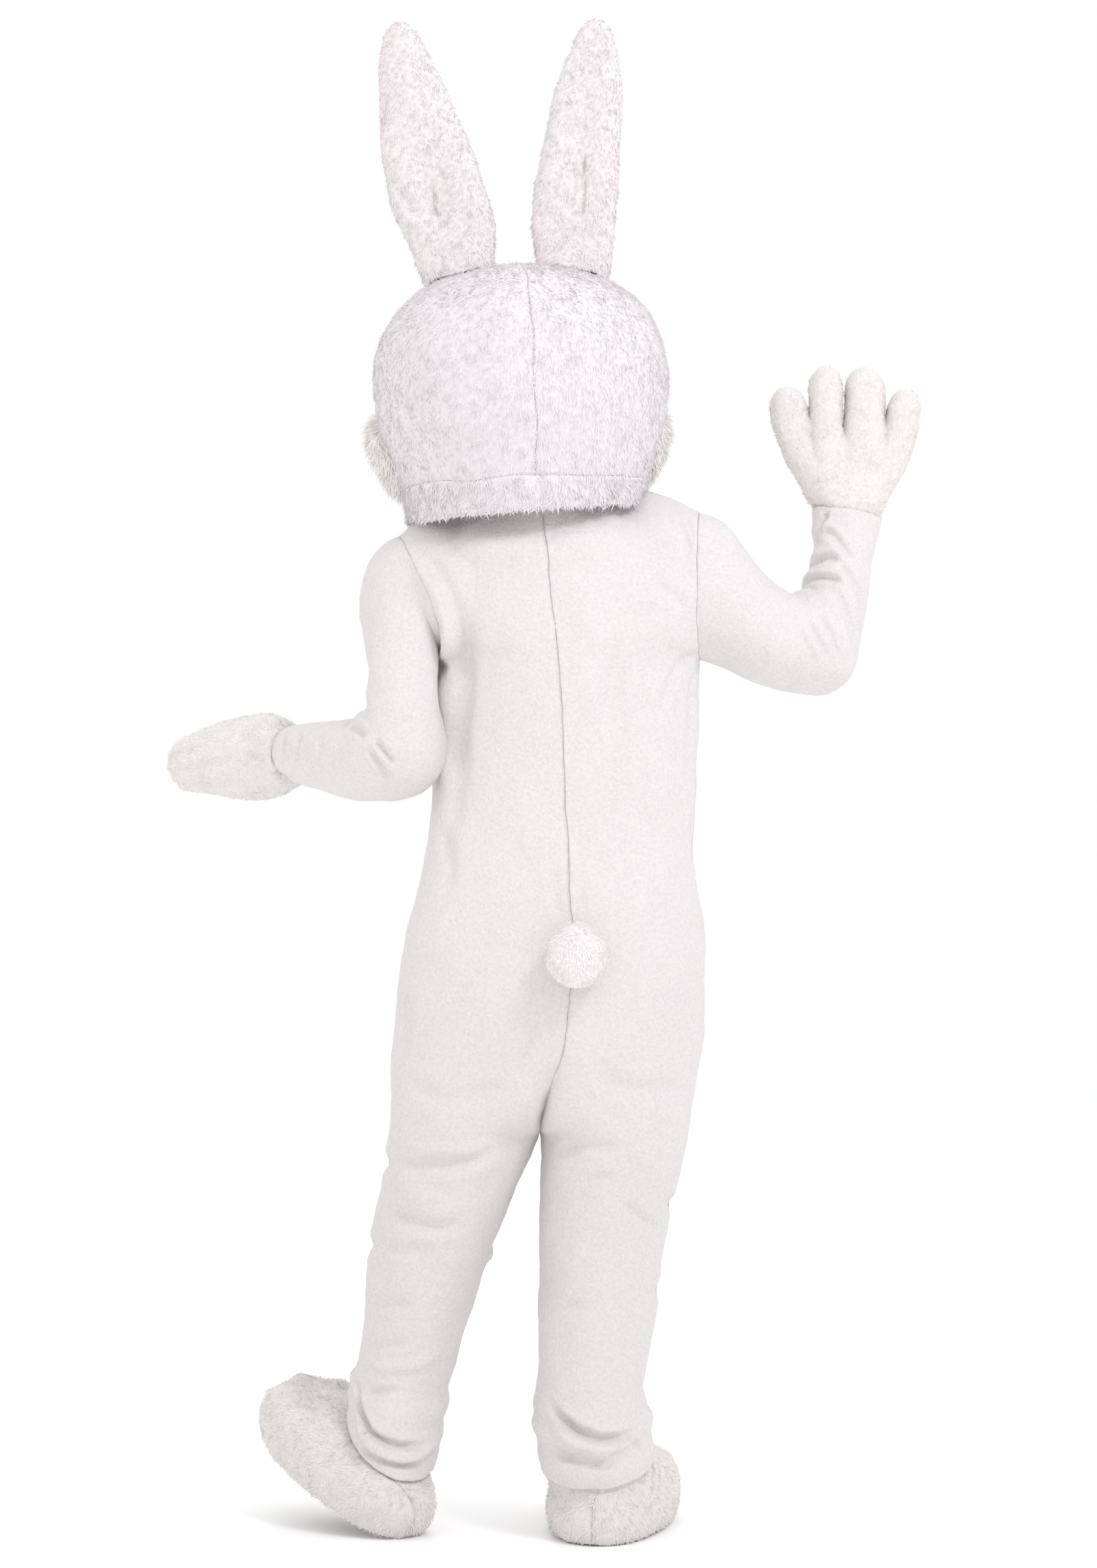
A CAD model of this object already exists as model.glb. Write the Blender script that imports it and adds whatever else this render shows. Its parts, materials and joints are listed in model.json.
"""A white plush rabbit costume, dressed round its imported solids: panels, folds, seams and pile."""

# %% [markdown]
# # A plush rabbit costume
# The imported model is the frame: every panel of the costume is already there as a plain closed
# wall, in metres, with its front towards -Y and the wearer's left towards +X. This notebook
# turns each wall into cloth, presses the folds into it, and grows the pile of the plush on top.

# %% Load the frame
import json
import math

import bmesh
import bpy
import numpy as np
from mathutils import Matrix, Vector
from mathutils.bvhtree import BVHTree

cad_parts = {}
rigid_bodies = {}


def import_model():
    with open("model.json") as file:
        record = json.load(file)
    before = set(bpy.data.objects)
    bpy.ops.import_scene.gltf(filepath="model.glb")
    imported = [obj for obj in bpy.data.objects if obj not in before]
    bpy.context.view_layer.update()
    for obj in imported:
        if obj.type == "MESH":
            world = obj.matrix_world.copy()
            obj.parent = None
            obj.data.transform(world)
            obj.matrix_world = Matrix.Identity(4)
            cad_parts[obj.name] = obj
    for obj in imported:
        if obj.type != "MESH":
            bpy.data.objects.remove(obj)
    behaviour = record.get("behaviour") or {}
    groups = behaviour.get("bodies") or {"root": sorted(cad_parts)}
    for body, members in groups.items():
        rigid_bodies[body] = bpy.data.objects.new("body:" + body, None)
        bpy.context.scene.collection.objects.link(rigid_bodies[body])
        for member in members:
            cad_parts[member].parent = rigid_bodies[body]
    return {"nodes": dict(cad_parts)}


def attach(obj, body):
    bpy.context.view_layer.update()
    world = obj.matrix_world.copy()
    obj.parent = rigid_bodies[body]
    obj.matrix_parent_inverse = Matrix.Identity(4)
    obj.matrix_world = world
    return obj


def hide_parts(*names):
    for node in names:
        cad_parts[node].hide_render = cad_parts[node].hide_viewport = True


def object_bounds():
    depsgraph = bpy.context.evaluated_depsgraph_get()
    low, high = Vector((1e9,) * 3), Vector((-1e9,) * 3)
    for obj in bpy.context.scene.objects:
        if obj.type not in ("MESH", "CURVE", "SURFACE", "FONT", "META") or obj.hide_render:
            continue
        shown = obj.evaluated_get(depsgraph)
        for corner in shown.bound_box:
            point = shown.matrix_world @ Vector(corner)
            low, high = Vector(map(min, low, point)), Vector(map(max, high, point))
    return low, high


for old in list(bpy.data.objects):
    bpy.data.objects.remove(old, do_unlink=True)
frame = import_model()
cad_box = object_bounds()
MM = 0.001
print("frame:", len(frame["nodes"]), "nodes")

# %% [markdown]
# ## The camera
# It stands behind the costume at the height of the waist, far enough back for little
# perspective. The folds are placed by where they show on the plane through the shoulders, along
# this camera's lines of sight, so it comes first.

# %% Camera
CAMERA_AT = np.array([-0.018, 5.8, -0.366])
LENS = 94.0
SENSOR = 36.0

camera_data = bpy.data.cameras.new("studio_camera")
camera_data.lens = LENS
camera_data.sensor_width = SENSOR
camera = bpy.data.objects.new("studio_camera", camera_data)
camera.location = CAMERA_AT
camera.rotation_euler = (math.radians(90.0), 0.0, math.radians(180.0))
bpy.context.scene.collection.objects.link(camera)
bpy.context.scene.camera = camera
print("frame height at the shoulders:", round(CAMERA_AT[1] * SENSOR / LENS, 3), "m")

# %% [markdown]
# ## From a packed wall to cloth
# A packed panel is a wall of cloth in coarse flat cells. Smoothing it with Catmull-Clark
# subdivision gives the rounded form, but plain subdivision shrinks a coarse form, so the control
# points are first pushed out until the smooth surface passes through the places where the coarse
# one had its corners. The wall's edges stay sharp, because two neighbouring panels have to meet
# along one line.

# %% Weld and sort a panel's faces
WELD = 1e-6
OUTER, INNER, RIM = 0, 1, 2
FOLD_ANGLE = math.radians(64.0)
RIM_SHARE = 1.3            # on the rim, the way through the cloth is this much longer
INSET = 0.02 * MM          # a look into the cloth starts this far below its face
NOTHING_BEHIND = 1.0       # metres to the other side where no cloth lies behind a face


def welded(name):
    """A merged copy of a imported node: loose triangles become one closed surface."""
    work = bmesh.new()
    work.from_mesh(frame["nodes"][name].data)
    bmesh.ops.remove_doubles(work, verts=work.verts[:], dist=WELD)
    return work


def way_through(tree, face):
    """How far it is from a face, straight in, to the other side of the cloth."""
    hit = tree.ray_cast(face.calc_center_median() - face.normal * INSET, -face.normal)
    return hit[3] if hit[0] is not None else NOTHING_BEHIND


def wall_groups(work, through, wall):
    """Groups of faces with the other wall right behind them, joined where they meet gently."""
    label = np.where(through > RIM_SHARE * wall, RIM, -1)
    groups = []
    for first in work.faces:
        if label[first.index] != -1:
            continue
        label[first.index] = OUTER
        group, queue = [], [first]
        while queue:
            face = queue.pop()
            group.append(face.index)
            for edge in face.edges:
                if edge.calc_face_angle(0.0) > FOLD_ANGLE:
                    continue
                for beside in edge.link_faces:
                    if label[beside.index] == -1:
                        label[beside.index] = OUTER
                        queue.append(beside)
        groups.append(group)
    return sorted(groups, key=lambda group: -sum(work.faces[n].calc_area() for n in group))


def sort_faces(work):
    """Mark each face as outer wall, inner wall or rim.

    Each corner belongs to the wall that covers more area round it. A face is on the rim when its
    corners are on both walls. The wall with the larger area is the outer one.
    """
    tree = BVHTree.FromBMesh(work)
    through = np.array([way_through(tree, face) for face in work.faces])
    wall = float(np.median(through))
    work.faces.index_update()
    work.faces.ensure_lookup_table()
    share = np.zeros((len(work.verts), 2))
    for side, group in zip((OUTER, INNER), wall_groups(work, through, wall)):
        for n in group:
            for corner in work.faces[n].verts:
                share[corner.index, side] += work.faces[n].calc_area()
    inner_corner = share[:, INNER] > share[:, OUTER]
    for face in work.faces:
        inside = inner_corner[[corner.index for corner in face.verts]]
        face.material_index = INNER if inside.all() else RIM if inside.any() else OUTER
    return wall


# %% [markdown]
# Then the flat triangles are paired back into quads, the edges of the wall are creased, and the
# control points are corrected three times against the smooth surface.

# %% Smooth a panel
CORRECTIONS = 3
DRAFT_LEVELS = 2           # smoothness while the control points are corrected
PAIR_ANGLE = math.radians(50.0)
RIM_CORNER = math.radians(50.0)


def coordinates(mesh):
    """The mesh's points as rows of x, y and z."""
    flat = np.empty(3 * len(mesh.vertices), np.float32)
    mesh.vertices.foreach_get("co", flat)
    return flat.reshape(-1, 3).astype(float)


def evaluated(piece):
    """The piece's points, quads and the kind of each quad, with its modifiers."""
    shape = piece.evaluated_get(bpy.context.evaluated_depsgraph_get())
    mesh = shape.to_mesh()
    points = coordinates(mesh)
    corners = np.empty(len(mesh.loops), np.int32)
    mesh.loops.foreach_get("vertex_index", corners)
    kind = np.empty(len(mesh.polygons), np.int32)
    mesh.polygons.foreach_get("material_index", kind)
    shape.to_mesh_clear()
    return points, corners.reshape(-1, 4), kind


def smooth_panel(name, levels, stuffed=False):
    """Catmull-Clark surface through a packed panel's corners: control = control + corner - smooth.

    A stuffed pad has no inner wall, so only the sharp edge round its base is creased.
    """
    work = welded(name)
    if stuffed:
        for face in work.faces:
            face.material_index = OUTER
    else:
        sort_faces(work)
    bmesh.ops.join_triangles(work, faces=work.faces[:], cmp_materials=True,
                             angle_face_threshold=PAIR_ANGLE, angle_shape_threshold=math.pi)
    crease = work.edges.layers.float.new("crease_edge")
    for edge in work.edges:
        kinds = [face.material_index for face in edge.link_faces]
        corner = (stuffed or kinds == [RIM, RIM]) and edge.calc_face_angle(0.0) > RIM_CORNER
        edge[crease] = 1.0 if kinds[0] != kinds[-1] or corner else 0.0
    mesh = bpy.data.meshes.new(name)
    work.to_mesh(mesh)
    work.free()
    piece = bpy.data.objects.new(name + "_draft", mesh)
    bpy.context.scene.collection.objects.link(piece)
    smoother = piece.modifiers.new("smooth", "SUBSURF")
    smoother.levels = DRAFT_LEVELS
    target = coordinates(mesh)
    control = target.copy()
    for _ in range(CORRECTIONS):
        control += target - evaluated(piece)[0][:len(target)]
        mesh.vertices.foreach_set("co", control.astype(np.float32).ravel())
        mesh.update()
    smoother.levels = levels
    panel = evaluated(piece)
    bpy.data.objects.remove(piece)
    bpy.data.meshes.remove(mesh)
    return panel


# %% [markdown]
# ## Small tools for surfaces
# Everything below works on whole arrays of points: the way out of the cloth at each point,
# smooth random fields for unevenness, and a way to put a finished surface into the scene.

# %% Surface tools
WAVES = 7                  # waves in a random field
STRETCH = (0.7, 1.4)       # their wavelengths differ by these factors
FIELD_HEIGHT = 0.6         # brings a field's peaks to about 1
TINY = 1e-12


def crossed(points, quads):
    """The crossed diagonals of each quad: they point out of it and are twice its area long."""
    a, b, c, d = (points[quads[:, k]] for k in range(4))
    return np.cross(c - a, d - b)


def unit(rows):
    """Each row divided by its length."""
    return rows / np.maximum(np.linalg.norm(rows, axis=1, keepdims=True), TINY)


def outward(points, quads):
    """Unit normals at the points: the sum of the crossed diagonals of the quads round each."""
    normal = crossed(points, quads)
    total = np.zeros_like(points)
    for corner in range(4):
        np.add.at(total, quads[:, corner], normal)
    return unit(total)


def uneven(points, wavelength, seed):
    """A smooth random field from about -1 to 1.

    It is a sum of waves in random directions, each with its own phase: sin(place . way + phase).
    """
    draw = np.random.default_rng(seed)
    way = draw.normal(size=(WAVES, 3))
    number = (2.0 * math.pi / wavelength) * draw.uniform(*STRETCH, (WAVES, 1))
    way *= number / np.linalg.norm(way, axis=1)[:, None]
    phase = draw.uniform(0.0, 2.0 * math.pi, WAVES)
    return np.sin(points @ way.T + phase).sum(axis=1) / math.sqrt(0.5 * WAVES) * FIELD_HEIGHT


def smoothstep(t):
    """0 below 0, 1 above 1, and 3 t^2 - 2 t^3 between."""
    t = np.clip(t, 0.0, 1.0)
    return t * t * (3.0 - 2.0 * t)


def put(name, points, faces, materials, kind=None, body="root"):
    """Add a finished surface to the scene: its mesh holds its place, and it rides on the body."""
    mesh = bpy.data.meshes.new(name)
    mesh.vertices.add(len(points))
    mesh.vertices.foreach_set("co", points.astype(np.float32).ravel())
    width = faces.shape[1]
    mesh.loops.add(faces.size)
    mesh.loops.foreach_set("vertex_index", faces.astype(np.int32).ravel())
    mesh.polygons.add(len(faces))
    mesh.polygons.foreach_set("loop_start", np.arange(0, faces.size, width, dtype=np.int32))
    mesh.update(calc_edges=True)
    mesh.validate()
    mesh.shade_smooth()
    for material in materials:
        mesh.materials.append(material)
    if kind is not None:
        mesh.polygons.foreach_set("material_index", kind.astype(np.int32))
    piece = bpy.data.objects.new(name, mesh)
    bpy.context.scene.collection.objects.link(piece)
    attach(piece, body)
    return piece


# %% [markdown]
# ## Materials
# Each finish is named for the real cloth. Colours are written as sRGB hex values and turned to
# linear by one function, and every pattern has a size in millimetres.

# %% Shader tools
def linear(code):
    """sRGB hex to linear: divide by 12.92 near black, else ((c + 0.055) / 1.055) ** 2.4."""
    channels = [int(code[k:k + 2], 16) / 255.0 for k in (1, 3, 5)]
    return (*[c / 12.92 if c <= 0.04045 else ((c + 0.055) / 1.055) ** 2.4 for c in channels], 1.0)


def new_finish(name, **settings):
    """A material whose shader has these values on its own sockets."""
    material = bpy.data.materials.new(name)
    material.use_nodes = True
    shader = material.node_tree.nodes["Principled BSDF"]
    for socket, value in settings.items():
        shader.inputs[socket.replace("_", " ")].default_value = value
    return material, shader


def add(material, kind, values, links, **settings):
    """Add one shader node: its properties, the values on its sockets and what feeds them."""
    node = material.node_tree.nodes.new(kind)
    for name, value in settings.items():
        setattr(node, name, value)
    for name, value in values.items():
        node.inputs[name].default_value = value
    for name, output in links.items():
        material.node_tree.links.new(output, node.inputs[name])
    return node


def stops(node, *colours):
    """Set a colour ramp's stops: (place, colour) pairs."""
    ramp = node.color_ramp
    while len(ramp.elements) < len(colours):
        ramp.elements.new(0.5)
    for element, (place, colour) in zip(ramp.elements, colours):
        element.position, element.color = place, colour


def per_metre(size_mm):
    """A texture's scale for a pattern of this size."""
    return 1000.0 / size_mm


# %% [markdown]
# Every cloth here is a pile fabric, so one recipe serves them all: fibres in clumps. Broad
# mottling and small clumps tint the colour between the fabric's light and its shade, and the
# clumps and single fibres raise the surface. The sizes, colours and depths set the fabrics
# apart. Cloth that is worn near the floor gets dusty, so every fabric is a little greyer from
# the hips down.

# %% Pile fabrics
CLEAN_ABOVE, DUSTY_BELOW = -0.45, -1.00    # heights in metres
DUSTY = 0.935              # how light the dusty cloth is, as a share of the clean cloth
SHADE_AT, LIGHT_AT = 0.30, 0.62            # levels of the pattern with the full shade and light
TINT_SHARE = 0.25          # how far a tuft's own tint moves that level
FIBRE_RISE = 0.4           # height of a fibre, as a share of a clump's


def pile_fabric(name, light, shade, clump_mm, fibre_mm=None, height_mm=None, mottle_mm=60.0,
                mottle_share=0.2, sheen=0.25, roughness=0.92):
    """Clumps of pile: colour from two noises, height from clump and fibre noise.

    A fabric with no fibre size is for tufts, which have their own relief and a tint of their own.
    """
    tinted = fibre_mm is None
    material, shader = new_finish(name, Roughness=roughness, Sheen_Weight=sheen,
                                  Sheen_Roughness=0.4, Specular_IOR_Level=0.15)
    place = add(material, "ShaderNodeTexCoord", {}, {}).outputs["Object"]

    def noise(size_mm, **values):
        values = {"Scale": per_metre(size_mm), **values}
        return add(material, "ShaderNodeTexNoise", values, {"Vector": place}).outputs["Fac"]

    def maths(operation, values, links):
        return add(material, "ShaderNodeMath", values, links, operation=operation).outputs[0]

    mottle = noise(mottle_mm, Detail=2.0)
    clump = noise(clump_mm, Detail=3.0, Roughness=0.6)
    blend = maths("MULTIPLY", {1: mottle_share}, {0: mottle})
    level = maths("MULTIPLY_ADD", {1: 1.0 - mottle_share}, {0: clump, 2: blend})
    if tinted:
        tint = add(material, "ShaderNodeAttribute", {}, {}, attribute_name="tint").outputs["Fac"]
        shift = maths("MULTIPLY_ADD", {1: TINT_SHARE, 2: -0.5 * TINT_SHARE}, {0: tint})
        level = maths("ADD", {}, {0: shift, 1: level})
    colour = add(material, "ShaderNodeValToRGB", {}, {"Fac": level})
    stops(colour, (SHADE_AT, linear(shade)), (LIGHT_AT, linear(light)))
    height = add(material, "ShaderNodeSeparateXYZ", {}, {"Vector": place}).outputs["Z"]
    fade = {"From Min": DUSTY_BELOW, "From Max": CLEAN_ABOVE, "To Min": DUSTY, "To Max": 1.0}
    clean = add(material, "ShaderNodeMapRange", fade, {"Value": height}).outputs["Result"]
    worn = add(material, "ShaderNodeVectorMath", {},
               {"Vector": colour.outputs["Color"], "Scale": clean}, operation="SCALE")
    links = material.node_tree.links
    links.new(worn.outputs["Vector"], shader.inputs["Base Color"])
    if not tinted:
        fibre = noise(fibre_mm, Detail=2.0, Roughness=0.7)
        rise = maths("MULTIPLY_ADD", {1: FIBRE_RISE}, {0: fibre, 2: clump})
        bump = add(material, "ShaderNodeBump", {"Strength": 0.8, "Distance": height_mm * MM},
                   {"Height": rise})
        links.new(bump.outputs["Normal"], shader.inputs["Normal"])
    return material


FLEECE = pile_fabric("short_pile_fleece", "#E3E0DF", "#D8D4D3", clump_mm=4.5, fibre_mm=1.5,
                     height_mm=2.2, mottle_share=0.12)
HEAD_BASE = pile_fabric("long_pile_plush_backing", "#E8E4E6", "#E0DBDD", 6.0, 1.8, 2.2)
HEAD_PILE = pile_fabric("long_pile_plush", "#EAE6E8", "#E2DDDF", 14.0)
FUR_BASE = pile_fabric("long_white_fur_backing", "#F6F4F2", "#F0ECE9", 6.0, 1.8, 2.2)
FUR = pile_fabric("long_white_fur", "#F7F5F3", "#F1EDEA", 14.0)
EAR_BASE = pile_fabric("ear_plush_backing", "#E9E3E3", "#E0D9D9", 6.0, 1.8, 2.2)
EAR_PILE = pile_fabric("ear_plush", "#E7E2E3", "#DED8DA", 14.0)
PAW_BASE = pile_fabric("fluffy_paw_plush_backing", "#E6E2E0", "#D9D4D1", 5.0, 1.6, 1.8)
PAW_PILE = pile_fabric("fluffy_paw_plush", "#EDE9E7", "#E1DCD9", 14.0)
LINING = pile_fabric("knitted_lining", "#E4DFDC", "#CFC8C4", 3.0, 1.5, 0.5, sheen=0.1)
SATIN = pile_fabric("pale_pink_satin", "#EBD3D2", "#E2C4C4", 30.0, 2.5, 0.3, sheen=0.4,
                    roughness=0.42)
VELOUR = pile_fabric("dusty_rose_velour", "#C97F86", "#A8626A", 5.0, 1.5, 0.8, sheen=0.6)
ACRYLIC, _ = new_finish("black_acrylic", Base_Color=linear("#15151A"), Roughness=0.08,
                        Coat_Weight=0.6)

# %% [markdown]
# ## Folds
# The main creases are pressed in by hand. Each row is one crease: the side it is seen from, its
# half width and depth in millimetres, and its course over the plane through the shoulders. A
# negative depth is a ridge. Lines of sight carry the course onto the suit, and the cloth within
# reach of it sinks. A crease is deepest in the middle, dies out at both ends, and lifts soft
# lips on both sides. Worn cloth is nowhere quite even either, so a broad, low unevenness goes
# over everything.

# %% Press folds in
EYES = {"back": CAMERA_AT, "front": np.array([0.0, -6.0, -0.4]),
        "left": np.array([6.0, 0.0, -0.4]), "right": np.array([-6.0, 0.0, -0.4])}
STEP = 0.004               # metres between two places on a course
FEWEST = 6                 # places on the shortest course
ROUNDING = 8               # smoothing passes over a course
FADE = 0.30                # share of the length over which a crease dies out
LIPS = 0.22                # height of the lips, as a share of the depth
LIPS_AT, LIPS_WIDTH = 1.9, 0.8             # where they are and how wide, in half widths
WITHIN = 4.0               # a crease moves no cloth beyond this many half widths
SAG = ((0.110, 0.0016), (0.034, 0.0005))   # wavelength and size of the unevenness
SAG_SEED = 40
FOLDS = (                  # seen from, half width, depth, course; first the slits in the ears
    ("back", 2.6, 9, ((0.147, 0.503), (0.144, 0.470), (0.140, 0.425))),
    ("back", 2.6, 9, ((-0.069, 0.548), (-0.068, 0.490), (-0.064, 0.418))),
    ("back", 5, 13, ((0.256, -1.196), (0.251, -1.254), (0.234, -1.286),
     (0.195, -1.303), (0.162, -1.305), (0.131, -1.291))),
    ("back", 5, 4.8, ((0.247, -1.218), (0.220, -1.229), (0.193, -1.224))),
    ("back", 5, 7, ((0.260, -1.298), (0.229, -1.317), (0.189, -1.331), (0.152, -1.325))),
    ("back", 8, 4.8, ((0.229, -1.013), (0.189, -1.027), (0.140, -1.025))),
    ("back", 8, 4.8, ((0.237, -1.098), (0.203, -1.106), (0.169, -1.102))),
    ("back", 7, 4, ((0.247, -1.153), (0.218, -1.162), (0.179, -1.158))),
    ("back", 6, 12.5, ((-0.012, -1.228), (-0.031, -1.260), (-0.056, -1.283),
     (-0.095, -1.296), (-0.128, -1.293), (-0.156, -1.272))),
    ("back", 5, 4.8, ((-0.124, -1.284), (-0.140, -1.298), (-0.156, -1.313))),
    ("back", 5, 7.5, ((-0.015, -1.298), (-0.044, -1.321), (-0.082, -1.331), (-0.126, -1.331))),
    ("back", 9, 3.2, ((-0.026, -1.104), (-0.063, -1.112), (-0.102, -1.107))),
    ("back", 4.5, 7.5, ((0.243, -0.312), (0.228, -0.332), (0.211, -0.355), (0.197, -0.365))),
    ("back", 4, 7.2, ((0.230, -0.304), (0.217, -0.320), (0.200, -0.339))),
    ("back", 6, 6.4, ((0.270, -0.277), (0.256, -0.286), (0.243, -0.303))),
    ("back", 4, 3.2, ((0.353, -0.286), (0.360, -0.309), (0.357, -0.331))),
    ("back", 5, 3.2, ((0.331, -0.284), (0.340, -0.309), (0.337, -0.343))),
    ("back", 7, 2.9, ((0.297, -0.282), (0.308, -0.315), (0.305, -0.358))),
    ("back", 9, -5.6, ((0.190, -0.021), (0.160, -0.060), (0.135, -0.104), (0.115, -0.172),
     (0.109, -0.232))),
    ("back", 12, 4.8, ((0.175, -0.021), (0.140, -0.064), (0.113, -0.126), (0.092, -0.203))),
    ("back", 5, 7.5, ((-0.415, 0.023), (-0.407, 0.010), (-0.396, -0.008))),
    ("back", 6, 6.4, ((-0.392, -0.012), (-0.414, -0.006), (-0.438, -0.033), (-0.451, -0.057))),
    ("back", 6, 9, ((-0.386, -0.060), (-0.401, -0.046), (-0.416, -0.044), (-0.432, -0.052))),
    ("back", 5, 9, ((-0.371, -0.093), (-0.386, -0.075), (-0.413, -0.073), (-0.441, -0.080))),
    ("back", 6, 5.6, ((-0.425, -0.044), (-0.454, -0.089), (-0.467, -0.128))),
    ("back", 7, 4.8, ((-0.414, -0.080), (-0.443, -0.126), (-0.455, -0.174))),
    ("back", 4, 4.5, ((-0.385, -0.126), (-0.404, -0.160), (-0.416, -0.196))),
    ("back", 4, 4, ((-0.401, -0.119), (-0.421, -0.157), (-0.432, -0.195))),
    ("back", 4, 3.2, ((-0.374, -0.140), (-0.388, -0.172), (-0.396, -0.203))),
    ("back", 3.5, 4, ((-0.200, 0.016), (-0.212, -0.008), (-0.222, -0.037))),
    ("back", 3, 3.5, ((-0.217, 0.020), (-0.220, -0.002), (-0.225, -0.025))),
    ("back", 8, 4.2, ((-0.154, -0.066), (-0.190, -0.097), (-0.224, -0.122))),
    ("back", 8, 4.8, ((-0.231, -0.175), (-0.201, -0.200), (-0.172, -0.271))),
    ("back", 8, 5.1, ((-0.231, -0.185), (-0.220, -0.250), (-0.213, -0.334))),
    ("back", 7, 3.2, ((-0.193, 0.008), (-0.216, -0.029), (-0.221, -0.103))),
    ("back", 17, 6.4, ((0.103, -0.046), (0.101, -0.217), (0.115, -0.387), (0.132, -0.501))),
    ("back", 12, 5.6, ((0.144, -0.412), (0.121, -0.470), (0.129, -0.532))),
    ("back", 18, 4.8, ((-0.104, -0.046), (-0.110, -0.274), (-0.104, -0.501))),
    ("back", 7, 2.6, ((-0.020, -0.445), (-0.026, -0.513), (-0.032, -0.567))),
    ("back", 7, 2.6, ((-0.059, -0.440), (-0.063, -0.513), (-0.069, -0.563))),
    ("back", 9, 4, ((-0.015, -0.677), (0.016, -0.752), (0.038, -0.822))),
    ("back", 12, 4.8, ((0.192, -0.783), (0.134, -0.814), (0.088, -0.809), (0.036, -0.779))),
    ("back", 10, 9, ((0.212, -0.874), (0.179, -0.902), (0.128, -0.907), (0.082, -0.899),
     (0.046, -0.880))),
    ("back", 12, -6.4, ((0.204, -0.940), (0.167, -0.950), (0.131, -0.948))),
    ("back", 10, 9, ((0.218, -0.950), (0.190, -0.980), (0.145, -0.996), (0.092, -0.990))),
    ("back", 12, 5.6, ((0.190, -0.640), (0.181, -0.685), (0.190, -0.754))),
    ("back", 8, 4.8, ((-0.024, -0.895), (-0.066, -0.877), (-0.125, -0.886))),
    ("back", 7, 4.8, ((-0.063, -0.934), (-0.117, -0.921))),
    ("back", 7, 4.8, ((-0.115, -0.955), (-0.148, -0.979), (-0.181, -0.997))),
    ("back", 12, 4, ((-0.078, -0.766), (-0.116, -0.795), (-0.169, -0.803), (-0.220, -0.789))),
    ("back", 9, -8, ((0.260, -1.255), (0.232, -1.304), (0.189, -1.323), (0.138, -1.309))),
    ("back", 9, -8, ((-0.013, -1.265), (-0.045, -1.298), (-0.092, -1.313), (-0.148, -1.296))),
    ("back", 8, -4, ((0.250, -1.180), (0.218, -1.195), (0.175, -1.193), (0.131, -1.174))),
    ("back", 10, -4, ((0.218, -0.921), (0.169, -0.930), (0.102, -0.928))),
    ("back", 5, 4, ((0.347, -0.276), (0.367, -0.280), (0.379, -0.292), (0.381, -0.305))),
    ("back", 5, 4.5, ((0.375, -0.346), (0.358, -0.350), (0.347, -0.361))),
    ("back", 9, 3.5, ((0.503, -0.300), (0.491, -0.320), (0.483, -0.346))),
    ("back", 7, 4, ((0.416, -0.329), (0.396, -0.324), (0.377, -0.329))),
    ("back", 8, 4.5, ((0.201, 0.483), (0.181, 0.459), (0.159, 0.435))),
    ("back", 7, 3.5, ((0.087, 0.473), (0.093, 0.440), (0.101, 0.411))),
    ("back", 13, 4.5, ((0.352, -1.237), (0.332, -1.246), (0.309, -1.252), (0.300, -1.275))),
    ("back", 10, 5, ((0.345, -1.300), (0.318, -1.310), (0.290, -1.330))),
    ("front", 16, 5, ((-0.110, -0.060), (-0.100, -0.230), (-0.118, -0.400))),
    ("front", 15, 5, ((0.080, -0.080), (0.092, -0.250), (0.100, -0.420))),
    ("front", 10, 4, ((-0.205, -0.020), (-0.195, -0.090), (-0.205, -0.160))),
    ("front", 9, 5, ((-0.215, -0.180), (-0.180, -0.230), (-0.130, -0.250))),
    ("front", 9, 5, ((0.120, -0.190), (0.095, -0.230), (0.050, -0.240))),
    ("front", 12, 4, ((0.140, -0.520), (0.090, -0.560), (0.030, -0.560))),
    ("front", 12, 4, ((-0.200, -0.480), (-0.130, -0.530), (-0.070, -0.530))),
    ("front", 9, 6, ((-0.190, -0.700), (-0.110, -0.770), (-0.030, -0.820))),
    ("front", 9, 6, ((0.170, -0.690), (0.100, -0.765), (0.030, -0.815))),
    ("front", 8, 5, ((-0.170, -0.800), (-0.100, -0.850), (-0.040, -0.865))),
    ("front", 8, 5, ((0.185, -0.820), (0.120, -0.860), (0.050, -0.875))),
    ("front", 10, 8, ((-0.170, -1.000), (-0.110, -1.025), (-0.030, -1.010))),
    ("front", 9, 6, ((-0.150, -1.075), (-0.090, -1.095), (-0.020, -1.080))),
    ("front", 7, 4, ((-0.140, -1.150), (-0.090, -1.165), (-0.020, -1.155))),
    ("front", 10, 8, ((0.210, -0.985), (0.150, -1.010), (0.070, -0.990))),
    ("front", 9, 6, ((0.215, -1.060), (0.160, -1.085), (0.090, -1.070))),
    ("front", 7, 4, ((0.230, -1.125), (0.180, -1.145), (0.115, -1.130))),
    ("front", 6, 8, ((0.235, -1.180), (0.190, -1.212), (0.135, -1.200))),
    ("front", 8, -6, ((0.240, -1.205), (0.190, -1.236), (0.133, -1.222))),
    ("front", 6, 8, ((-0.140, -1.215), (-0.090, -1.248), (-0.020, -1.235))),
    ("front", 8, -6, ((-0.145, -1.245), (-0.085, -1.276), (-0.018, -1.262))),
    ("front", 6, 7, ((0.230, -0.275), (0.215, -0.300), (0.190, -0.330))),
    ("front", 5, 6, ((0.262, -0.288), (0.245, -0.318), (0.225, -0.352))),
    ("front", 6, 7, ((-0.378, -0.092), (-0.400, -0.120), (-0.425, -0.165))),
    ("front", 6, 6, ((-0.392, -0.062), (-0.420, -0.078), (-0.450, -0.110))),
    ("front", 5, 5, ((-0.350, -0.100), (-0.360, -0.145), (-0.372, -0.190))),
    ("left", 10, 6, ((-0.090, -0.900), (-0.020, -0.925), (0.050, -0.905))),
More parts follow.
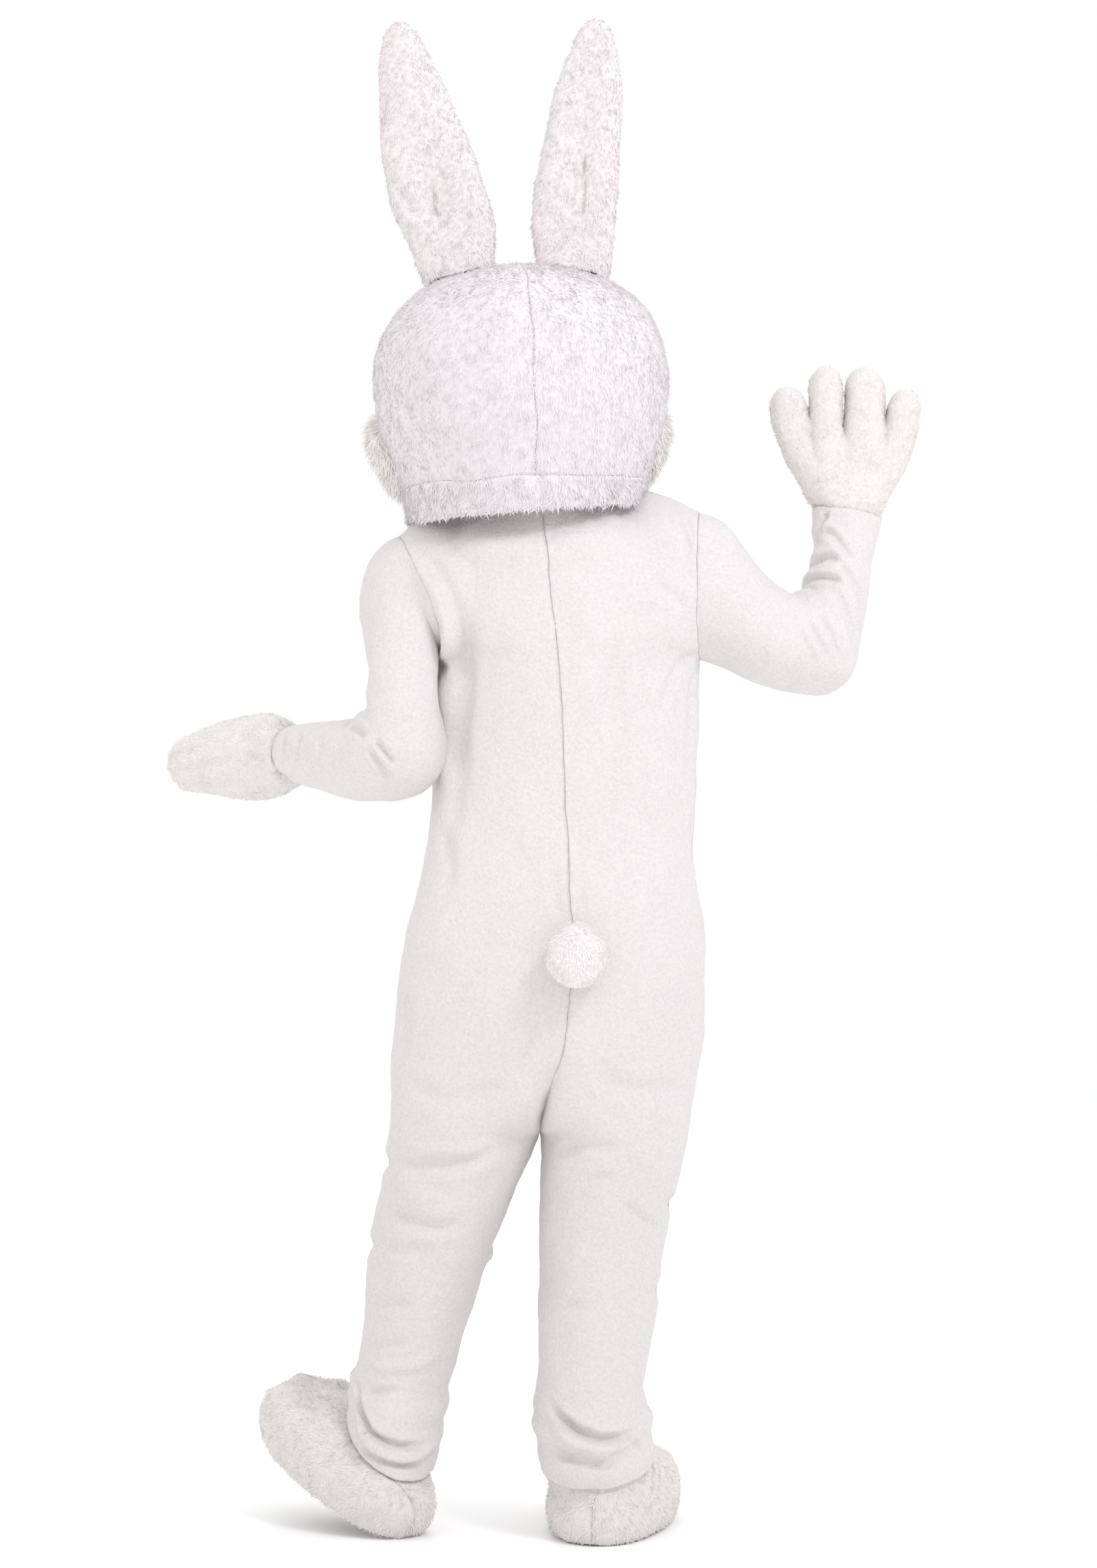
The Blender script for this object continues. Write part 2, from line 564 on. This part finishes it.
    ("left", 10, 6, ((-0.120, -1.030), (-0.040, -1.050), (0.020, -1.035))),
    ("left", 12, 5, ((-0.010, -0.520), (0.000, -0.640), (-0.010, -0.760))),
    ("right", 10, 5, ((-0.080, -0.960), (-0.010, -0.985), (0.060, -0.965))),
    ("right", 10, 5, ((-0.070, -1.090), (-0.010, -1.105), (0.050, -1.090))),
    ("right", 12, 5, ((0.000, -0.300), (0.010, -0.420), (0.000, -0.560))),
)
SUIT_SWELLS = (            # the suit alone puffs out: beside the lowered arm, under the neckband
    ("back", 19, -15, ((0.110, -0.140), (0.116, -0.205), (0.123, -0.290), (0.123, -0.350),
     (0.117, -0.410))),
    ("back", 13, -15, ((0.120, -0.125), (0.124, -0.170), (0.127, -0.210), (0.128, -0.270))),
    ("back", 24, -9, ((0.200, -0.022), (0.130, -0.024), (0.060, -0.030), (-0.020, -0.032),
     (-0.090, -0.018),
     (-0.170, 0.006))),
)


def tree_of(panels):
    """A search tree over the outer walls of several panels."""
    count, corners, faces = 0, [], []
    for points, quads, kind in panels:
        corners.append(points)
        faces.append(quads[kind == OUTER] + count)
        count += len(points)
    return BVHTree.FromPolygons(np.concatenate(corners).tolist(), np.concatenate(faces).tolist())


def rounded(rows, passes):
    """Rows smoothed along their course: each is half itself and a quarter of each neighbour."""
    for _ in range(passes):
        rows[1:-1] = 0.25 * rows[:-2] + 0.5 * rows[1:-1] + 0.25 * rows[2:]
    return rows


def even_places(knots, count=None):
    """Even places along the line through the knots, with its corners rounded."""
    reach = np.concatenate([[0.0], np.cumsum(np.linalg.norm(np.diff(knots, axis=0), axis=1))])
    along = np.linspace(0.0, reach[-1], count or max(FEWEST, int(reach[-1] / STEP)))
    path = np.column_stack([np.interp(along, reach, column) for column in knots.T])
    return rounded(path, ROUNDING)


def course(cloth_tree, view, places):
    """Places every few millimetres along a crease, and the way out of the cloth there."""
    flat = view in ("back", "front")
    path = even_places(np.array([(a, 0.0, z) if flat else (0.0, a, z) for a, z in places]))
    eye = Vector(EYES[view])
    hits = [cloth_tree.ray_cast(eye, (Vector(spot) - eye).normalized()) for spot in path]
    spots = np.array([hit[0] for hit in hits if hit[0] is not None])
    ways = np.array([hit[1] for hit in hits if hit[0] is not None])
    if len(spots) < len(path):
        print("crease from", view, places[0], "leaves the cloth:", len(spots), "of", len(path))
    return spots, unit(rounded(ways, 2 * ROUNDING))


def press(points, spots, ways, half_width, depth):
    """Sink = depth * (exp(-(distance / half width)^2) - lips) * a fade along the course."""
    margin = WITHIN * half_width
    low, high = spots.min(axis=0) - margin, spots.max(axis=0) + margin
    near = np.all((points > low) & (points < high), axis=1)
    if not near.any():
        return
    gap = np.linalg.norm(points[near, None, :] - spots[None, :, :], axis=2)
    nearest = gap.argmin(axis=1)
    apart = gap.min(axis=1) / half_width
    at = nearest / (len(spots) - 1)
    fade = smoothstep(at / FADE) * smoothstep((1.0 - at) / FADE)
    shape = np.exp(-apart ** 2) - LIPS * np.exp(-((apart - LIPS_AT) / LIPS_WIDTH) ** 2)
    points[near] -= ways[nearest] * (depth * shape * fade)[:, None]


def sag(points):
    """Shift points by smooth random fields, so that neighbouring panels shift together."""
    for n, (wavelength, size) in enumerate(SAG):
        seeds = (SAG_SEED + 3 * n + k for k in range(3))
        points += size * np.column_stack([uneven(points, wavelength, seed) for seed in seeds])


# %% [markdown]
# ## Seams
# Two panels meet edge to edge. Sewing draws both edges in, so the outer wall dips along each
# seam, a little more here and less there where the stitches pucker.

# %% Draw the seams in
SEAM_PUCKER = 0.020        # metres from one pucker to the next
SEAM_MEAN, SEAM_SWING = 0.75, 0.35         # depth along a seam, as shares of its depth
SEAM_SEED = 5


def draw_in_seams(points, quads, kind, depth):
    """Lower the outer wall's edge by depth, and the next row of points by a third of it."""
    outer_quads = quads[kind == OUTER]
    normal = outward(points, outer_quads)
    on_outer = np.zeros(len(points), bool)
    on_outer[outer_quads] = True
    on_rim = np.zeros(len(points), bool)
    on_rim[quads[kind == RIM]] = True
    edge = on_outer & on_rim
    beside = np.zeros(len(points), bool)
    beside[outer_quads[edge[outer_quads].any(axis=1)]] = True
    beside &= on_outer & ~edge
    amount = depth * (SEAM_MEAN + SEAM_SWING * uneven(points, SEAM_PUCKER, SEAM_SEED))
    sink = np.where(edge, amount, np.where(beside, amount / 3.0, 0.0))
    return points - normal * sink[:, None]


# %% [markdown]
# ## Pile
# Real plush is a forest of fibres that cling together in tufts. A tuft here is a thin closed
# spike: three roots round a point of the cloth, and a tip. It leans with the nap, and the nap
# wanders from place to place, which gives the mottled look of worn plush. Long locks have a bend
# half way.

# %% Grow tufts
ROOT_DEPTH = 0.0006        # roots start this far inside the cloth
SPREAD = 0.030             # metres over which the nap wanders
WANDER, STRAY = 0.6, 0.30  # how far the nap wanders and how far one tuft strays from it, in radians
TILT_WANDER, TILT_STRAY = 0.15, 0.15       # the same for the way the tufts lie over
TILTS = (0.1, 1.45)        # the most upright and the flattest tuft, in radians
LENGTHS, WIDTHS = (0.6, 1.25), (0.7, 1.3)  # factors on a tuft's length and width
TINT_MEAN, TINT_WANDER, TINT_STRAY = 0.5, 0.3, 0.12


def sample(points, quads, count, draw):
    """Random places on quads, even by area, with the way out of the cloth there."""
    face_normal = crossed(points, quads)
    area = np.linalg.norm(face_normal, axis=1)
    pick = draw.choice(len(quads), count, p=area / area.sum())
    u, v = draw.random((2, count, 1))
    a, b, c, d = (points[quads[pick, k]] for k in range(4))
    place = (1 - u) * ((1 - v) * a + v * d) + u * ((1 - v) * b + v * c)
    return place, face_normal[pick] / area[pick, None]


def tufts(name, points, quads, count, length, width, nap, lean, material, seed, keep=None):
    """Spikes of four faces: a root triangle and a tip.

    Tip = place + length * (out * cos(lean) + nap * sin(lean)). The nap is one direction, laid along
    the cloth and turned by a smooth random field.
    """
    draw = np.random.default_rng(seed)
    place, out = sample(points, quads, count, draw)
    if keep is not None:
        kept = keep(place)
        place, out = place[kept], out[kept]
    count = len(place)
    nap = np.array(nap)
    along = unit(nap - out * (nap * out).sum(axis=1, keepdims=True))
    across = np.cross(out, along)
    turn = WANDER * uneven(place, SPREAD, seed + 1) + draw.normal(0.0, STRAY, count)
    cos, sin = np.cos(turn)[:, None], np.sin(turn)[:, None]
    along, across = along * cos + across * sin, across * cos - along * sin
    tilt = lean + TILT_WANDER * uneven(place, SPREAD, seed + 2)
    tilt = np.clip(tilt + draw.normal(0.0, TILT_STRAY, count), *TILTS)[:, None]
    size = length * draw.uniform(*LENGTHS, count)
    aim = out * np.cos(tilt) + along * np.sin(tilt)
    side = unit(np.cross(aim, across))
    half = 0.5 * width * draw.uniform(*WIDTHS, count)
    root = place - out * ROOT_DEPTH
    angles = np.array([1.0, 5.0, 9.0]) * math.pi / 6.0
    corners = [root + (across * math.cos(t) + side * math.sin(t)) * half[:, None] for t in angles]
    corners.append(place + aim * size[:, None])
    all_points = np.stack(corners, axis=1).reshape(-1, 3)
    first = 4 * np.arange(count)[:, None]
    spike = ((0, 2, 1), (0, 1, 3), (1, 2, 3), (2, 0, 3))
    faces = np.concatenate([first + np.array(face) for face in spike])
    volume = np.einsum("ij,ij->i", np.cross(corners[1] - corners[0], corners[2] - corners[0]),
                       corners[3] - corners[0]).mean()
    if volume < 0.0:
        faces = faces[:, ::-1]
    piece = put(name, all_points, faces, [material])
    piece.data.shade_flat()
    tint = TINT_MEAN + TINT_WANDER * uneven(place, SPREAD, seed + 3)
    tint = np.clip(tint + draw.normal(0.0, TINT_STRAY, count), 0.0, 1.0)
    attribute = piece.data.attributes.new("tint", "FLOAT", "POINT")
    attribute.data.foreach_set("value", np.repeat(tint, 4).astype(np.float32))
    print(name, count, "tufts,", len(faces), "faces")
    return piece


# %% [markdown]
# ## The panels
# Each panel has a finish, a smoothness and the size it was cut to: width, length and flat area.

# %% Panels
SUIT_SEAM, PLUSH_SEAM, SMALL_SEAM = 0.0009, 0.0012, 0.0006     # depths in metres
PANELS = {                 # finish, slot, levels, seam depth, cut width, cut length, flat area
    "suit_back_left": (FLEECE, "suit_fleece", 3, SUIT_SEAM, 0.31, 1.47, 0.390),
    "suit_back_right": (FLEECE, "suit_fleece", 3, SUIT_SEAM, 0.31, 1.47, 0.386),
    "suit_front_left": (FLEECE, "suit_fleece", 2, SUIT_SEAM, 0.30, 1.44, 0.338),
    "suit_front_right": (FLEECE, "suit_fleece", 2, SUIT_SEAM, 0.30, 1.44, 0.381),
    "sleeve_left": (FLEECE, "suit_fleece", 3, SUIT_SEAM, 0.46, 0.54, 0.181),
    "sleeve_right": (FLEECE, "suit_fleece", 3, SUIT_SEAM, 0.46, 0.50, 0.163),
    "head_neckband": (HEAD_BASE, "head_plush", 3, PLUSH_SEAM, 1.06, 0.06, 0.046),
    "head_back_left": (HEAD_BASE, "head_plush", 3, PLUSH_SEAM, 0.36, 0.41, 0.122),
    "head_back_right": (HEAD_BASE, "head_plush", 3, PLUSH_SEAM, 0.36, 0.41, 0.122),
    "head_face": (HEAD_BASE, "head_plush", 3, PLUSH_SEAM, 0.58, 0.41, 0.191),
    "ear_left_back": (EAR_BASE, "head_plush", 3, SMALL_SEAM, 0.16, 0.39, 0.045),
    "ear_right_back": (EAR_BASE, "head_plush", 3, SMALL_SEAM, 0.15, 0.38, 0.041),
    "ear_left_front": (SATIN, "ear_satin", 2, SMALL_SEAM, 0.15, 0.38, 0.042),
    "ear_right_front": (SATIN, "ear_satin", 2, SMALL_SEAM, 0.14, 0.37, 0.038),
    "mitt_left_back": (PAW_BASE, "paw_plush", 2, SMALL_SEAM, 0.17, 0.27, 0.035),
    "mitt_left_palm": (PAW_BASE, "paw_plush", 2, SMALL_SEAM, 0.16, 0.27, 0.032),
    "mitt_right_back": (PAW_BASE, "paw_plush", 2, SMALL_SEAM, 0.24, 0.28, 0.054),
    "mitt_right_palm": (PAW_BASE, "paw_plush", 2, SMALL_SEAM, 0.23, 0.27, 0.048),
    "foot_left_outer": (PAW_BASE, "paw_plush", 2, SMALL_SEAM, 0.30, 0.36, 0.080),
    "foot_left_inner": (PAW_BASE, "paw_plush", 2, SMALL_SEAM, 0.27, 0.34, 0.060),
    "foot_right_outer": (PAW_BASE, "paw_plush", 2, SMALL_SEAM, 0.30, 0.36, 0.073),
    "foot_right_inner": (PAW_BASE, "paw_plush", 2, SMALL_SEAM, 0.29, 0.36, 0.070),
}
shells = {name: smooth_panel(name, row[2]) for name, row in PANELS.items()}
suit_tree = tree_of([shells[name] for name in PANELS])
creases = [(*course(suit_tree, view, places), half_width * MM, depth * MM)
           for view, half_width, depth, places in (*FOLDS, *SUIT_SWELLS)]
suit_swells = [creases.pop() for _ in SUIT_SWELLS]
for name, (_, _, _, seam, *_) in PANELS.items():
    points, quads, kind = shells[name]
    for crease in (*creases, *suit_swells) if name.startswith("suit") else creases:
        press(points, *crease)
    sag(points)
    points = draw_in_seams(points, quads, kind, seam)
    shells[name] = (points, quads, kind)
    area = 0.5 * np.linalg.norm(crossed(points, quads[kind == OUTER]), axis=1).sum()
    print(f"{name:18s} {len(quads):6d} quads, outer area {area:.3f} m2")

# %% [markdown]
# ## Into the scene
# The panels replace their packed walls. The pile goes on their outer sides.

# %% Place the panels
cloth = {}
for name, (points, quads, kind) in shells.items():
    finish, slot = PANELS[name][:2]
    piece = put(name + "_cloth", points, quads, [finish, LINING], np.where(kind == INNER, 1, 0))
    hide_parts(name)
    cloth[name] = piece

# %% [markdown]
# ## Stuffed pieces
# The tail, the muzzle, the cheeks, the nose and the eyes are solid. They are smoothed in the
# same way.

# %% Stuffed pieces
PAD_LEVELS = 2
PADS = {                   # finish, slot, how full
    "tail": (HEAD_BASE, "head_plush", 0.8),
    "muzzle": (HEAD_BASE, "head_plush", 0.7),
    "cheek_left": (FUR_BASE, "head_plush", 0.6),
    "cheek_right": (FUR_BASE, "head_plush", 0.6),
    "nose": (VELOUR, "nose_cloth", 0.9),
    "eye_left": (ACRYLIC, "eye_plastic", None),
    "eye_right": (ACRYLIC, "eye_plastic", None),
}
for name, (finish, slot, fill) in PADS.items():
    points, quads, kind = smooth_panel(name, PAD_LEVELS, stuffed=True)
    sag(points)
    shells[name] = (points, quads, kind)
    piece = put(name + "_pad", points, quads, [finish])
    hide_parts(name)

# %% [markdown]
# ## Pile on the panels
# Count, length and width of the tufts, how far they lie over, and which way the nap runs.

# %% Pile
DOWN = (0.0, 0.0, -1.0)
PILE = {                   # tufts, length, width, lean, nap, finish
    "head_neckband": (5600, 0.010, 0.0024, 1.25, DOWN, HEAD_PILE),
    "head_back_left": (9000, 0.008, 0.0020, 1.30, DOWN, HEAD_PILE),
    "head_back_right": (9000, 0.008, 0.0020, 1.30, DOWN, HEAD_PILE),
    "head_face": (9000, 0.008, 0.0020, 1.30, DOWN, HEAD_PILE),
    "muzzle": (2200, 0.006, 0.0018, 1.20, DOWN, HEAD_PILE),
    "cheek_left": (2600, 0.017, 0.0024, 1.05, (0.3, 0.1, -1.0), FUR),
    "cheek_right": (2600, 0.017, 0.0024, 1.05, (-0.3, 0.1, -1.0), FUR),
    "tail": (3200, 0.006, 0.0020, 1.25, DOWN, FUR),
    "ear_left_back": (3600, 0.007, 0.0020, 1.20, DOWN, EAR_PILE),
    "ear_right_back": (3400, 0.007, 0.0020, 1.20, DOWN, EAR_PILE),
    "mitt_left_back": (3000, 0.005, 0.0018, 1.20, (0.7, -0.6, -0.2), PAW_PILE),
    "mitt_left_palm": (2600, 0.005, 0.0018, 1.20, (0.7, -0.6, -0.2), PAW_PILE),
    "mitt_right_back": (4200, 0.005, 0.0018, 1.20, (0.0, -0.2, 1.0), PAW_PILE),
    "mitt_right_palm": (3800, 0.005, 0.0018, 1.20, (0.0, -0.2, 1.0), PAW_PILE),
    "foot_left_outer": (4600, 0.007, 0.0020, 1.15, (0.5, -0.6, -0.6), PAW_PILE),
    "foot_left_inner": (3800, 0.007, 0.0020, 1.15, (0.5, -0.6, -0.6), PAW_PILE),
    "foot_right_outer": (4600, 0.007, 0.0020, 1.15, (0.0, -0.7, -0.7), PAW_PILE),
    "foot_right_inner": (4400, 0.007, 0.0020, 1.15, (0.0, -0.7, -0.7), PAW_PILE),
}
SLIT_CLEAR = 0.0035        # metres beside a slit with no pile
HEM_FACES_DOWN = -0.5      # the rims of neckband and ears grow pile where they face down this much
slits = np.concatenate([crease[0] for crease in creases[:2]])


def clear_of_slits(place):
    """Which places are far enough from the slits in the ears."""
    return np.array([np.linalg.norm(slits - spot, axis=1).min() > SLIT_CLEAR for spot in place])


for seed, (name, (count, length, width, lean, nap, finish)) in enumerate(PILE.items()):
    points, quads, kind = shells[name]
    grown = kind == OUTER
    if name.startswith(("head_neckband", "ear")):
        normal = crossed(points, quads)
        grown |= (kind == RIM) & (normal[:, 2] < HEM_FACES_DOWN * np.linalg.norm(normal, axis=1))
    tufts(name + "_pile", points, quads[grown], count, length, width, nap, lean,
                        finish, 10 * seed, clear_of_slits if name.startswith("ear") else None)

# %% [markdown]
# ## The mouth
# A plush face gets its mouth in thick embroidery thread: a short line under the nose and two
# small curves. The thread lies on the muzzle, so its course is found by looking at the face from
# straight ahead.

# %% Stitch the mouth
THREAD = 0.0021            # radius in metres
THREAD_LIFT = 0.0015       # how far its middle lies above the backing, in the pile
THREAD_PLACES = 24         # places along one line
SIDES = 8
AHEAD = np.array([0.0, -1.0, 0.0])
LOOK_FROM = 0.1            # metres ahead of the nose
MOUTH = (                  # places beside and below the nose's middle, in millimetres
    ((0, 14), (0, 40)),
    ((0, 40), (7, 48), (17, 51), (27, 46), (33, 38)),
    ((0, 40), (-7, 48), (-17, 51), (-27, 46), (-33, 38)),
)


def thread_on(cloth_tree, centre, side, places):
    """Points along one stitched line on the cloth, and the way out of the cloth there."""
    path = even_places(np.array(places) * MM, THREAD_PLACES)
    start = centre + LOOK_FROM * AHEAD + path[:, :1] * side + path[:, 1:] * np.cross(side, AHEAD)
    hits = [cloth_tree.ray_cast(Vector(spot), Vector(-AHEAD)) for spot in start]
    return np.array([hit[0] for hit in hits]), np.array([hit[1] for hit in hits])


def tube(path, ways, radius):
    """Rings round a path, with quads over both ends.

    Each point = path + radius * (way * cos(turn) + across * sin(turn)).
    """
    across = unit(np.cross(np.gradient(path, axis=0), ways))
    turn = 2.0 * math.pi * np.arange(SIDES)[None, :, None] / SIDES
    ring = ways[:, None] * np.cos(turn) + across[:, None] * np.sin(turn)
    points = (path[:, None] + radius * ring).reshape(-1, 3)
    first = SIDES * np.arange(len(path) - 1)[:, None]
    here, beside = first + np.arange(SIDES), first + (np.arange(SIDES) + 1) % SIDES
    walls = np.stack([here, beside, beside + SIDES, here + SIDES], axis=2)
    cap = np.array([(0, 1, 2, 3), (0, 3, 4, 7), (4, 5, 6, 7)])  # three quads close a ring of eight
    caps = [cap[:, ::-1], cap + SIDES * (len(path) - 1)]
    return points, np.concatenate([walls.reshape(-1, 4), *caps])


face_side = shells["eye_left"][0].mean(axis=0) - shells["eye_right"][0].mean(axis=0)
face_side /= np.linalg.norm(face_side)
muzzle_tree = tree_of([shells["muzzle"]])
thread, _ = new_finish("dusty_rose_embroidery_thread", Base_Color=linear("#9A5F66"), Roughness=0.7)
stitch_points, stitch_faces = [], []
for places in MOUTH:
    spots, ways = thread_on(muzzle_tree, shells["nose"][0].mean(axis=0), face_side, places)
    points, faces = tube(spots + THREAD_LIFT * ways, ways, THREAD)
    stitch_faces.append(faces + sum(len(p) for p in stitch_points))
    stitch_points.append(points)
mouth = put("mouth_stitch", np.concatenate(stitch_points), np.concatenate(stitch_faces), [thread])
print("mouth:", len(mouth.data.polygons), "faces")

# %% [markdown]
# ## Sheets
# Every panel is declared as a sheet of cloth with the size it was cut to; its pile goes with it.

for name, piece in cloth.items():
    width, length, area = PANELS[name][4:]

# %% [markdown]
# ## The studio
# A pale floor under the feet, soft light from all round, and a large soft key light from behind
# the camera.

# %% Floor and light
FLOOR_RADIUS = 9.0
FLOOR_DROP = 0.0005        # metres between the soles and the floor
LIGHTS_AIM = Vector((0.0, 0.0, -0.3))

floor_mesh = bpy.data.meshes.new("studio_floor")
floor_shape = bmesh.new()
bmesh.ops.create_circle(floor_shape, cap_ends=True, segments=64, radius=FLOOR_RADIUS)
floor_shape.to_mesh(floor_mesh)
floor_shape.free()
floor_mesh.transform(Matrix.Translation((0.0, 0.0, cad_box[0][2] - FLOOR_DROP)))
floor_paint, _ = new_finish("pale_studio_floor", Base_Color=linear("#FDFDFD"), Roughness=0.9)
floor_mesh.materials.append(floor_paint)
floor = bpy.data.objects.new("studio_floor", floor_mesh)
bpy.context.scene.collection.objects.link(floor)

world = bpy.data.worlds.new("studio_air")
world.use_nodes = True
world.node_tree.nodes["Background"].inputs["Color"].default_value = (1.0, 1.0, 1.0, 1.0)
world.node_tree.nodes["Background"].inputs["Strength"].default_value = 1.0
bpy.context.scene.world = world
bpy.context.scene.view_settings.view_transform = "Standard"

LIGHTS = (                 # name, place, size, watts, colour
    ("key", (-2.4, 3.4, 3.4), 1.2, 92.0, (0.95, 0.92, 1.0)),
    ("fill", (3.4, 2.6, 1.6), 2.0, 12.0, (1.0, 0.98, 0.95)),
    ("front", (0.5, -4.0, 2.0), 2.0, 40.0, (1.0, 1.0, 1.0)),
)
for name, place, size, watts, colour in LIGHTS:
    lamp = bpy.data.lights.new(name, "AREA")
    lamp.size, lamp.energy, lamp.color = size, watts, colour
    holder = bpy.data.objects.new(name, lamp)
    holder.location = place
    holder.rotation_euler = (LIGHTS_AIM - Vector(place)).to_track_quat("-Z", "Y").to_euler()
    bpy.context.scene.collection.objects.link(holder)

# %% Finish
print("cad box    ", [[round(v, 3) for v in c] for c in cad_box])
